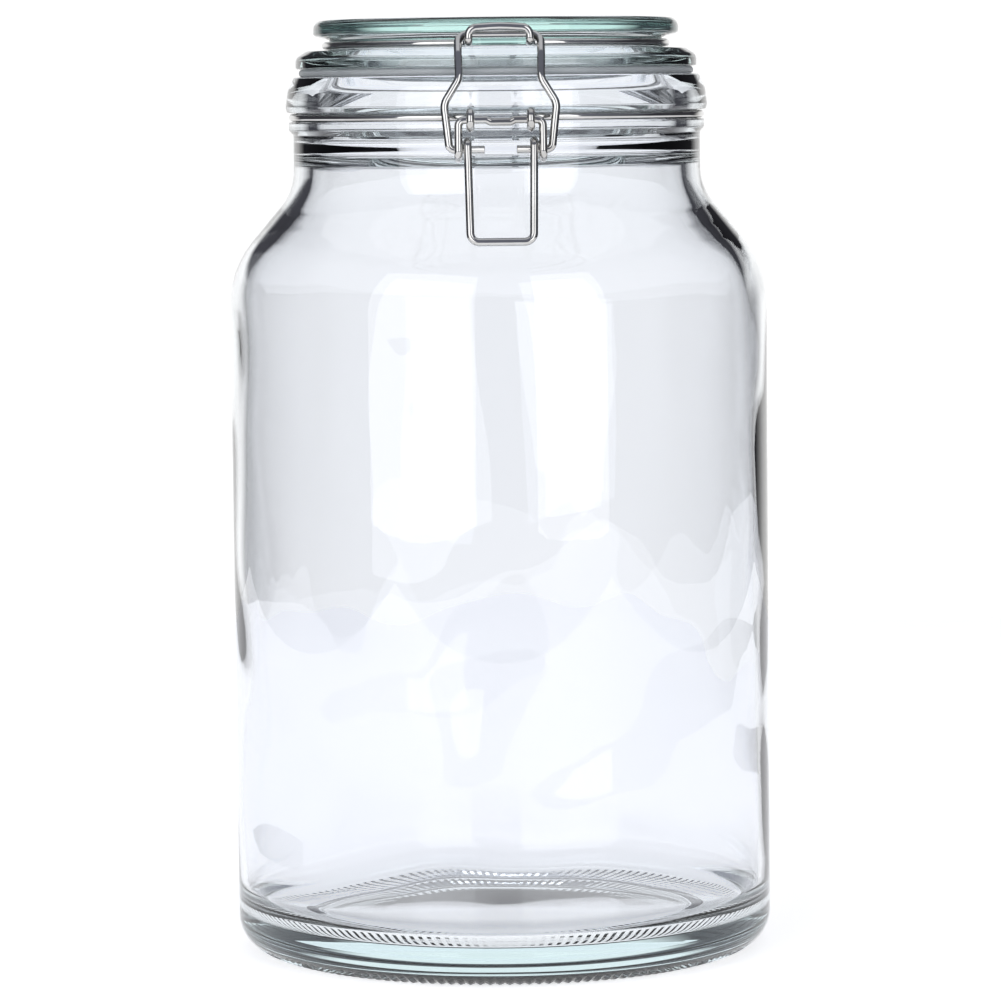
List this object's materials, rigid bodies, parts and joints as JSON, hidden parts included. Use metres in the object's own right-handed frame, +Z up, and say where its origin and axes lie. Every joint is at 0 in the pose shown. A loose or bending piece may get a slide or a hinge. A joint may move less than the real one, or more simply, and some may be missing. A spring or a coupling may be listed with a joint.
{
  "type": "lidded glass canister",
  "caption": "Round glass storage jar with a hinged glass lid, a ring seal and a wire clip closure whose handle pulls a loop down over the lid.",
  "frame": {"origin": "centre of the resting face, on the jar's axis", "axes": "+Z up along the jar's axis, -Y towards the clip's handle, +Y towards the hinge, +X to the right of someone facing the clip"},
  "size_m": [0.1732, 0.1732, 0.3],
  "materials": {
    "jar_glass": "clear, smooth",
    "lid_glass": "clear, pale green in the thick parts",
    "wire": "bright plated wire",
    "seal": "translucent grey silicone"
  },
  "bodies": {
    "jar": {"jar_body": "jar_glass", "neck_wire": "wire"},
    "lid": {"lid": "lid_glass", "gasket": "seal", "lid_wire": "wire"},
    "handle": {"handle": "wire"},
    "loop": {"loop": "wire"}
  },
  "joints": [
    {"name": "lid_hinge", "type": "hinge", "parent": "jar", "child": "lid", "pos_m": [0, 0.07305, 0.26905], "axis": [-1, 0, 0], "range_deg": [0, 110]},
    {"name": "handle_pivot", "type": "hinge", "parent": "jar", "child": "handle", "pos_m": [0, -0.07162, 0.26825], "axis": [-1, 0, 0], "range_deg": [0, 150]},
    {"name": "loop_swing", "type": "hinge", "parent": "handle", "child": "loop", "pos_m": [0, -0.07052, 0.25905], "axis": [-1, 0, 0], "range_deg": [-217.5, 0]}
  ],
  "couplings": [
    {"joint": "loop_swing", "follows": "handle_pivot", "ratio": -1.45}
  ]
}
